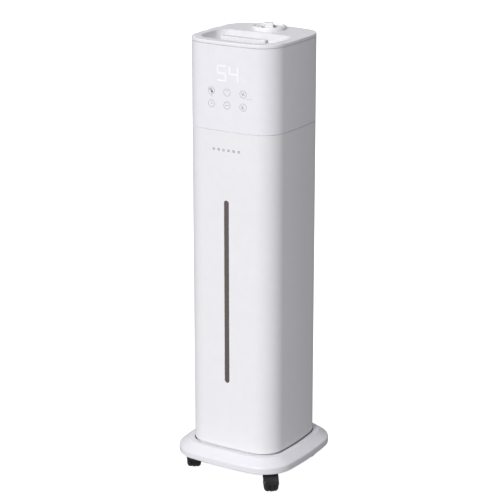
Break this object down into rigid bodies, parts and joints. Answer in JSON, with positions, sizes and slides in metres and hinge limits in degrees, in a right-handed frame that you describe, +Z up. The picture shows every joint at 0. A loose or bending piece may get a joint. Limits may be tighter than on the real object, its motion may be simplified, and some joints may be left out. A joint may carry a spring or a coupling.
{
  "type": "cool mist humidifier",
  "caption": "Tall square tower humidifier with rounded corners: lift-off head with top filling basin, grip and turning mist nozzle, front water level slot, and a wheeled tray.",
  "frame": {"origin": "on the floor, under the middle of the tower", "axes": "+Z up, -Y towards the front with the display, +X to the right seen from the front"},
  "size_m": [0.279, 0.279, 0.9562],
  "materials": {
    "shell_white": "satin moulded ABS, very fine grain",
    "tray_white": "satin moulded ABS",
    "cover_white": "satin moulded ABS",
    "nozzle_white": "semi-gloss moulded ABS",
    "base_white": "satin moulded ABS",
    "inner_white": "matt moulded polypropylene",
    "grille_white": "satin moulded ABS",
    "strainer_white": "matt moulded polypropylene",
    "zinc_steel": "zinc-plated steel",
    "socket_black": "moulded nylon",
    "caster_black": "satin moulded nylon",
    "wheel_black": "satin moulded nylon tread",
    "foot_rubber": "matt rubber",
    "smoked_window": "smoked acrylic, polished",
    "seal_grey": "silicone rubber",
    "transducer_metal": "turned metal with a steel disc",
    "float_blue": "foamed polypropylene",
    "black_plastic": "moulded black plastic",
    "filter_foam": "open-cell foam",
    "lamp_white": "diffusing light box",
    "pad_grey": "conductive foam",
    "board_green": "solder mask over glass fibre",
    "pump_grey": "moulded plastic",
    "impeller_white": "moulded plastic",
    "silicone_tube": "translucent silicone"
  },
  "bodies": {
    "tray": {"tray_front": "tray_white", "tray_rear": "tray_white", "tray_joint_plates": "zinc_steel", "tray_screws": "zinc_steel", "caster_sockets": "socket_black"},
    "caster_front_right": {"caster_hood_front_right": "caster_black", "caster_stem_front_right": "zinc_steel", "caster_axle_front_right": "zinc_steel"},
    "wheel_front_right_left": {"wheel_front_right_left": "wheel_black"},
    "wheel_front_right_right": {"wheel_front_right_right": "wheel_black"},
    "caster_front_left": {"caster_hood_front_left": "caster_black", "caster_stem_front_left": "zinc_steel", "caster_axle_front_left": "zinc_steel"},
    "wheel_front_left_left": {"wheel_front_left_left": "wheel_black"},
    "wheel_front_left_right": {"wheel_front_left_right": "wheel_black"},
    "caster_rear_left": {"caster_hood_rear_left": "caster_black", "caster_stem_rear_left": "zinc_steel", "caster_axle_rear_left": "zinc_steel"},
    "wheel_rear_left_left": {"wheel_rear_left_left": "wheel_black"},
    "wheel_rear_left_right": {"wheel_rear_left_right": "wheel_black"},
    "caster_rear_right": {"caster_hood_rear_right": "caster_black", "caster_stem_rear_right": "zinc_steel", "caster_axle_rear_right": "zinc_steel"},
    "wheel_rear_right_left": {"wheel_rear_right_left": "wheel_black"},
    "wheel_rear_right_right": {"wheel_rear_right_right": "wheel_black"},
    "tower": {"tank_shell": "shell_white", "tank_base": "base_white", "tower_feet": "foot_rubber", "level_window": "smoked_window", "window_gasket": "seal_grey"},
    "head": {"head_shell": "shell_white", "top_cover": "cover_white", "carry_grip": "cover_white", "grip_screws": "zinc_steel", "head_floor": "inner_white", "head_seal": "seal_grey", "mist_chamber": "inner_white", "chamber_lid": "inner_white", "mist_duct": "inner_white", "transducer": "transducer_metal", "float_guide": "inner_white", "fan_frame": "black_plastic", "air_duct": "inner_white", "intake_grille": "grille_white", "intake_filter": "filter_foam", "power_inlet": "black_plastic", "digit_module": "lamp_white", "touch_pads": "pad_grey", "display_board": "board_green", "main_board": "board_green", "fill_chute": "inner_white", "pump_housing": "pump_grey", "pump_screen": "pump_grey", "riser_tube": "silicone_tube"},
    "fan": {"fan_rotor": "black_plastic"},
    "impeller": {"pump_impeller": "impeller_white"},
    "float": {"level_float": "float_blue"},
    "strainer": {"fill_strainer": "strainer_white"},
    "nozzle": {"mist_nozzle": "nozzle_white"}
  },
  "joints": [
    {"name": "swivel_front_right", "type": "hinge", "parent": "tray", "child": "caster_front_right", "pos_m": [0.0955, -0.092, 0.0443], "axis": [0, 0, 1], "continuous": true},
    {"name": "roll_front_right_left", "type": "hinge", "parent": "caster_front_right", "child": "wheel_front_right_left", "pos_m": [0.1045, -0.10272, 0.019], "axis": [-0.766, -0.6428, 0], "continuous": true},
    {"name": "roll_front_right_right", "type": "hinge", "parent": "caster_front_right", "child": "wheel_front_right_right", "pos_m": [0.1045, -0.10272, 0.019], "axis": [-0.766, -0.6428, 0], "continuous": true},
    {"name": "swivel_front_left", "type": "hinge", "parent": "tray", "child": "caster_front_left", "pos_m": [-0.0955, -0.092, 0.0443], "axis": [0, 0, 1], "continuous": true},
    {"name": "roll_front_left_left", "type": "hinge", "parent": "caster_front_left", "child": "wheel_front_left_left", "pos_m": [-0.10284, -0.08008, 0.019], "axis": [0.8517, 0.524, 0], "continuous": true},
    {"name": "roll_front_left_right", "type": "hinge", "parent": "caster_front_left", "child": "wheel_front_left_right", "pos_m": [-0.10284, -0.08008, 0.019], "axis": [0.8517, 0.524, 0], "continuous": true},
    {"name": "swivel_rear_left", "type": "hinge", "parent": "tray", "child": "caster_rear_left", "pos_m": [-0.0955, 0.092, 0.0443], "axis": [0, 0, 1], "continuous": true},
    {"name": "roll_rear_left_left", "type": "hinge", "parent": "caster_rear_left", "child": "wheel_rear_left_left", "pos_m": [-0.09745, 0.10586, 0.019], "axis": [0.9903, 0.1392, 0], "continuous": true},
    {"name": "roll_rear_left_right", "type": "hinge", "parent": "caster_rear_left", "child": "wheel_rear_left_right", "pos_m": [-0.09745, 0.10586, 0.019], "axis": [0.9903, 0.1392, 0], "continuous": true},
    {"name": "swivel_rear_right", "type": "hinge", "parent": "tray", "child": "caster_rear_right", "pos_m": [0.0955, 0.092, 0.0443], "axis": [0, 0, 1], "continuous": true},
    {"name": "roll_rear_right_left", "type": "hinge", "parent": "caster_rear_right", "child": "wheel_rear_right_left", "pos_m": [0.08151, 0.09151, 0.019], "axis": [-0.0349, 0.9994, 0], "continuous": true},
    {"name": "roll_rear_right_right", "type": "hinge", "parent": "caster_rear_right", "child": "wheel_rear_right_right", "pos_m": [0.08151, 0.09151, 0.019], "axis": [-0.0349, 0.9994, 0], "continuous": true},
    {"name": "tower_lift", "type": "slide", "parent": "tray", "child": "tower", "axis": [0, 0, 1], "range_m": [0, 0.03]},
    {"name": "head_lift", "type": "slide", "parent": "tower", "child": "head", "axis": [0, 0, 1], "range_m": [0, 0.7]},
    {"name": "fan_spin", "type": "hinge", "parent": "head", "child": "fan", "pos_m": [-0.074, 0.05, 0.8222], "axis": [1, 0, 0], "continuous": true},
    {"name": "pump_spin", "type": "hinge", "parent": "head", "child": "impeller", "pos_m": [0.062, 0.01, 0.0854], "axis": [0, 0, 1], "continuous": true},
    {"name": "float_rise", "type": "slide", "parent": "head", "child": "float", "axis": [0, 0, 1], "range_m": [0, 0.012]},
    {"name": "strainer_lift", "type": "slide", "parent": "head", "child": "strainer", "axis": [0, 0, 1], "range_m": [0, 0.06]},
    {"name": "nozzle_turn", "type": "hinge", "parent": "head", "child": "nozzle", "pos_m": [-0.003, 0.0625, 0.9432], "axis": [0, 0, 1], "continuous": true}
  ]
}
